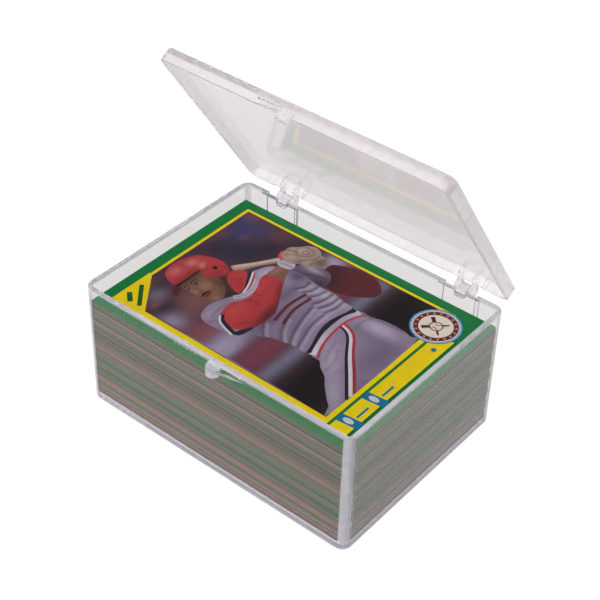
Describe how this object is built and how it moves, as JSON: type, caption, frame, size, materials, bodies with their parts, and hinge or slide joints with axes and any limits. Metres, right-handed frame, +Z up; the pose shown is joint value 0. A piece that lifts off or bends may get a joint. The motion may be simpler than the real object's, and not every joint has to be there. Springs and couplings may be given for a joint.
{
  "type": "hinged card deck box",
  "caption": "Clear hinged plastic storage box with a split thumb catch, standing part open, filled with a deck of sports trading cards.",
  "frame": {"origin": "middle of the base's flat underside", "axes": "+X along the hinge line, +Y from the thumb catch at the front to the hinges at the back, +Z up"},
  "size_m": [0.0926, 0.0758, 0.1005],
  "materials": {
    "clear_styrene": "gloss",
    "printed_card": "gloss",
    "card_stock": "matte"
  },
  "bodies": {
    "base": {"base_box": "clear_styrene"},
    "lid": {"lid": "clear_styrene"},
    "deck": {"top_card": "printed_card", "card_packet_01": "card_stock", "card_packet_02": "card_stock", "card_packet_03": "card_stock", "card_packet_04": "card_stock", "card_packet_05": "card_stock", "card_packet_06": "card_stock", "card_packet_07": "card_stock", "card_packet_08": "card_stock", "card_packet_09": "card_stock", "card_packet_10": "card_stock", "card_packet_11": "card_stock", "card_packet_12": "card_stock", "card_packet_13": "card_stock", "card_packet_14": "card_stock", "card_packet_15": "card_stock", "card_packet_16": "card_stock", "card_packet_17": "card_stock", "card_packet_18": "card_stock", "card_packet_19": "card_stock", "card_packet_20": "card_stock", "card_packet_21": "card_stock", "card_packet_22": "card_stock", "card_packet_23": "card_stock", "card_packet_24": "card_stock", "card_packet_25": "card_stock", "card_packet_26": "card_stock", "card_packet_27": "card_stock", "card_packet_28": "card_stock", "card_packet_29": "card_stock", "card_packet_30": "card_stock", "card_packet_31": "card_stock", "card_packet_32": "card_stock", "card_packet_33": "card_stock"}
  },
  "joints": [
    {"name": "lid_hinge", "type": "hinge", "parent": "base", "child": "lid", "pos_m": [0, 0.0357, 0.0391], "axis": [1, 0, 0], "range_deg": [-124, 56]},
    {"name": "deck_lift", "type": "slide", "parent": "base", "child": "deck", "axis": [0, 0, 1], "range_m": [0, 0.007]}
  ]
}
